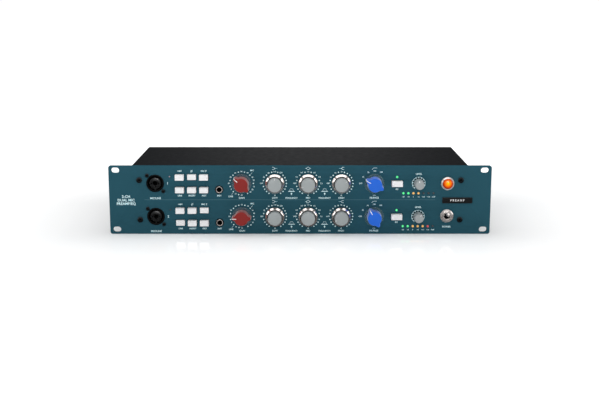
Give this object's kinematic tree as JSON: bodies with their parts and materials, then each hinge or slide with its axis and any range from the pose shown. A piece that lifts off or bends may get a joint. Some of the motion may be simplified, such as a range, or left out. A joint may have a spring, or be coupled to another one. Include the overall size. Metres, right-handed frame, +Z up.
{
  "type": "microphone preamplifier",
  "caption": "Rack-mount microphone preamplifier with equaliser: blue front panel with knobs and buttons on a black steel case, sockets at front and rear.",
  "frame": {"origin": "centre of the case's underside, on the surface it stands on", "axes": "+X to the right seen from the front, +Y to the back, +Z up"},
  "size_m": [0.4826, 0.1898, 0.0881],
  "materials": {
    "panel_paint": "semi-gloss teal-blue enamel on aluminium",
    "case_paint": "satin black powder coat on folded steel",
    "white_plastic": "semi-gloss moulded",
    "red_plastic": "semi-gloss moulded",
    "blue_plastic": "semi-gloss moulded",
    "grey_plastic": "satin moulded",
    "black_plastic": "satin moulded",
    "chrome": "polished plate",
    "amber_lens": "faceted clear tint, lit",
    "led_lens": "clear tint, some lit",
    "black_steel": "black oxide",
    "board": "solder mask",
    "winding": "taped copper winding on a steel ring core"
  },
  "bodies": {
    "case": {"front_panel": "panel_paint", "badge_plate": "black_plastic", "chassis_tray": "case_paint", "rear_panel": "case_paint", "top_cover": "case_paint", "panel_screw_upper_left": "black_steel", "panel_screw_upper_right": "black_steel", "panel_screw_lower_left": "black_steel", "panel_screw_lower_right": "black_steel", "combo_jack_1": "black_plastic", "inst_jack_1": "chrome", "meter_led_strip_1": "led_lens", "output_xlr_1": "black_plastic", "rear_jacks_1": "black_plastic", "combo_jack_2": "black_plastic", "inst_jack_2": "chrome", "meter_led_strip_2": "led_lens", "output_xlr_2": "black_plastic", "rear_jacks_2": "black_plastic", "lamp_bezel": "chrome", "lamp_jewel": "amber_lens", "toggle_body": "chrome", "power_inlet": "black_plastic", "power_board": "board", "mains_transformer": "winding", "control_board": "board", "main_board": "board"},
    "phantom_button_1": {"phantom_button_1": "white_plastic"},
    "polarity_button_1": {"polarity_button_1": "white_plastic"},
    "mic_z_button_1": {"mic_z_button_1": "white_plastic"},
    "line_button_1": {"line_button_1": "white_plastic"},
    "insert_button_1": {"insert_button_1": "white_plastic"},
    "inst_button_1": {"inst_button_1": "white_plastic"},
    "eq_button_1": {"eq_button_1": "white_plastic"},
    "gain_knob_1": {"gain_knob_1": "red_plastic"},
    "low_frequency_ring_1": {"low_frequency_ring_1": "chrome"},
    "low_gain_knob_1": {"low_gain_knob_1": "grey_plastic"},
    "mid_frequency_ring_1": {"mid_frequency_ring_1": "chrome"},
    "mid_gain_knob_1": {"mid_gain_knob_1": "grey_plastic"},
    "high_frequency_ring_1": {"high_frequency_ring_1": "chrome"},
    "high_gain_knob_1": {"high_gain_knob_1": "grey_plastic"},
    "hipass_knob_1": {"hipass_knob_1": "blue_plastic"},
    "level_knob_1": {"level_knob_1": "grey_plastic"},
    "phantom_button_2": {"phantom_button_2": "white_plastic"},
    "polarity_button_2": {"polarity_button_2": "white_plastic"},
    "mic_z_button_2": {"mic_z_button_2": "white_plastic"},
    "line_button_2": {"line_button_2": "white_plastic"},
    "insert_button_2": {"insert_button_2": "white_plastic"},
    "inst_button_2": {"inst_button_2": "white_plastic"},
    "eq_button_2": {"eq_button_2": "white_plastic"},
    "gain_knob_2": {"gain_knob_2": "red_plastic"},
    "low_frequency_ring_2": {"low_frequency_ring_2": "chrome"},
    "low_gain_knob_2": {"low_gain_knob_2": "grey_plastic"},
    "mid_frequency_ring_2": {"mid_frequency_ring_2": "chrome"},
    "mid_gain_knob_2": {"mid_gain_knob_2": "grey_plastic"},
    "high_frequency_ring_2": {"high_frequency_ring_2": "chrome"},
    "high_gain_knob_2": {"high_gain_knob_2": "grey_plastic"},
    "hipass_knob_2": {"hipass_knob_2": "blue_plastic"},
    "level_knob_2": {"level_knob_2": "grey_plastic"},
    "toggle_lever": {"toggle_lever": "chrome"}
  },
  "joints": [
    {"name": "phantom_button_1_push", "type": "slide", "parent": "case", "child": "phantom_button_1", "axis": [0, 1, 0], "range_m": [0, 0.004], "stiffness_N_per_m": 250},
    {"name": "polarity_button_1_push", "type": "slide", "parent": "case", "child": "polarity_button_1", "axis": [0, 1, 0], "range_m": [-0.004, 0], "stiffness_N_per_m": 250},
    {"name": "mic_z_button_1_push", "type": "slide", "parent": "case", "child": "mic_z_button_1", "axis": [0, 1, 0], "range_m": [0, 0.004], "stiffness_N_per_m": 250},
    {"name": "line_button_1_push", "type": "slide", "parent": "case", "child": "line_button_1", "axis": [0, 1, 0], "range_m": [0, 0.004], "stiffness_N_per_m": 250},
    {"name": "insert_button_1_push", "type": "slide", "parent": "case", "child": "insert_button_1", "axis": [0, 1, 0], "range_m": [0, 0.004], "stiffness_N_per_m": 250},
    {"name": "inst_button_1_push", "type": "slide", "parent": "case", "child": "inst_button_1", "axis": [0, 1, 0], "range_m": [0, 0.004], "stiffness_N_per_m": 250},
    {"name": "eq_button_1_push", "type": "slide", "parent": "case", "child": "eq_button_1", "axis": [0, 1, 0], "range_m": [0, 0.004], "stiffness_N_per_m": 250},
    {"name": "gain_knob_1_turn", "type": "hinge", "parent": "case", "child": "gain_knob_1", "pos_m": [-0.0737, -0.0865, 0.0654], "axis": [0, -1, 0], "range_deg": [-210, 120]},
    {"name": "low_frequency_ring_1_turn", "type": "hinge", "parent": "case", "child": "low_frequency_ring_1", "pos_m": [-0.0318, -0.0865, 0.0654], "axis": [0, -1, 0], "range_deg": [-120, 60]},
    {"name": "low_gain_knob_1_turn", "type": "hinge", "parent": "case", "child": "low_gain_knob_1", "pos_m": [-0.0318, -0.0865, 0.0654], "axis": [0, -1, 0], "range_deg": [-150, 150]},
    {"name": "mid_frequency_ring_1_turn", "type": "hinge", "parent": "case", "child": "mid_frequency_ring_1", "pos_m": [0.0102, -0.0865, 0.0654], "axis": [0, -1, 0], "range_deg": [-150, 30]},
    {"name": "mid_gain_knob_1_turn", "type": "hinge", "parent": "case", "child": "mid_gain_knob_1", "pos_m": [0.0102, -0.0865, 0.0654], "axis": [0, -1, 0], "range_deg": [-257, 43]},
    {"name": "high_frequency_ring_1_turn", "type": "hinge", "parent": "case", "child": "high_frequency_ring_1", "pos_m": [0.0522, -0.0865, 0.0654], "axis": [0, -1, 0], "range_deg": [-150, 30]},
    {"name": "high_gain_knob_1_turn", "type": "hinge", "parent": "case", "child": "high_gain_knob_1", "pos_m": [0.0522, -0.0865, 0.0654], "axis": [0, -1, 0], "range_deg": [-98, 202]},
    {"name": "hipass_knob_1_turn", "type": "hinge", "parent": "case", "child": "hipass_knob_1", "pos_m": [0.0939, -0.0865, 0.0654], "axis": [0, -1, 0], "range_deg": [-90, 30]},
    {"name": "level_knob_1_turn", "type": "hinge", "parent": "case", "child": "level_knob_1", "pos_m": [0.1497, -0.0865, 0.0654], "axis": [0, -1, 0], "range_deg": [-157, 143]},
    {"name": "phantom_button_2_push", "type": "slide", "parent": "case", "child": "phantom_button_2", "axis": [0, 1, 0], "range_m": [0, 0.004], "stiffness_N_per_m": 250},
    {"name": "polarity_button_2_push", "type": "slide", "parent": "case", "child": "polarity_button_2", "axis": [0, 1, 0], "range_m": [0, 0.004], "stiffness_N_per_m": 250},
    {"name": "mic_z_button_2_push", "type": "slide", "parent": "case", "child": "mic_z_button_2", "axis": [0, 1, 0], "range_m": [-0.004, 0], "stiffness_N_per_m": 250},
    {"name": "line_button_2_push", "type": "slide", "parent": "case", "child": "line_button_2", "axis": [0, 1, 0], "range_m": [-0.004, 0], "stiffness_N_per_m": 250},
    {"name": "insert_button_2_push", "type": "slide", "parent": "case", "child": "insert_button_2", "axis": [0, 1, 0], "range_m": [0, 0.004], "stiffness_N_per_m": 250},
    {"name": "inst_button_2_push", "type": "slide", "parent": "case", "child": "inst_button_2", "axis": [0, 1, 0], "range_m": [0, 0.004], "stiffness_N_per_m": 250},
    {"name": "eq_button_2_push", "type": "slide", "parent": "case", "child": "eq_button_2", "axis": [0, 1, 0], "range_m": [0, 0.004], "stiffness_N_per_m": 250},
    {"name": "gain_knob_2_turn", "type": "hinge", "parent": "case", "child": "gain_knob_2", "pos_m": [-0.0737, -0.0865, 0.0227], "axis": [0, -1, 0], "range_deg": [-255, 75]},
    {"name": "low_frequency_ring_2_turn", "type": "hinge", "parent": "case", "child": "low_frequency_ring_2", "pos_m": [-0.0318, -0.0865, 0.0227], "axis": [0, -1, 0], "range_deg": [-90, 90]},
    {"name": "low_gain_knob_2_turn", "type": "hinge", "parent": "case", "child": "low_gain_knob_2", "pos_m": [-0.0318, -0.0865, 0.0227], "axis": [0, -1, 0], "range_deg": [-264, 36]},
    {"name": "mid_frequency_ring_2_turn", "type": "hinge", "parent": "case", "child": "mid_frequency_ring_2", "pos_m": [0.0102, -0.0865, 0.0227], "axis": [0, -1, 0], "range_deg": [-90, 90]},
    {"name": "mid_gain_knob_2_turn", "type": "hinge", "parent": "case", "child": "mid_gain_knob_2", "pos_m": [0.0102, -0.0865, 0.0227], "axis": [0, -1, 0], "range_deg": [-150, 150]},
    {"name": "high_frequency_ring_2_turn", "type": "hinge", "parent": "case", "child": "high_frequency_ring_2", "pos_m": [0.0522, -0.0865, 0.0227], "axis": [0, -1, 0], "range_deg": [-90, 90]},
    {"name": "high_gain_knob_2_turn", "type": "hinge", "parent": "case", "child": "high_gain_knob_2", "pos_m": [0.0522, -0.0865, 0.0227], "axis": [0, -1, 0], "range_deg": [-260, 40]},
    {"name": "hipass_knob_2_turn", "type": "hinge", "parent": "case", "child": "hipass_knob_2", "pos_m": [0.0939, -0.0865, 0.0227], "axis": [0, -1, 0], "range_deg": [-60, 60]},
    {"name": "level_knob_2_turn", "type": "hinge", "parent": "case", "child": "level_knob_2", "pos_m": [0.1497, -0.0865, 0.0227], "axis": [0, -1, 0], "range_deg": [-120, 180]},
    {"name": "toggle_lever_flip", "type": "hinge", "parent": "case", "child": "toggle_lever", "pos_m": [0.1861, -0.0857, 0.0237], "axis": [1, 0, 0], "range_deg": [0, 32]}
  ]
}
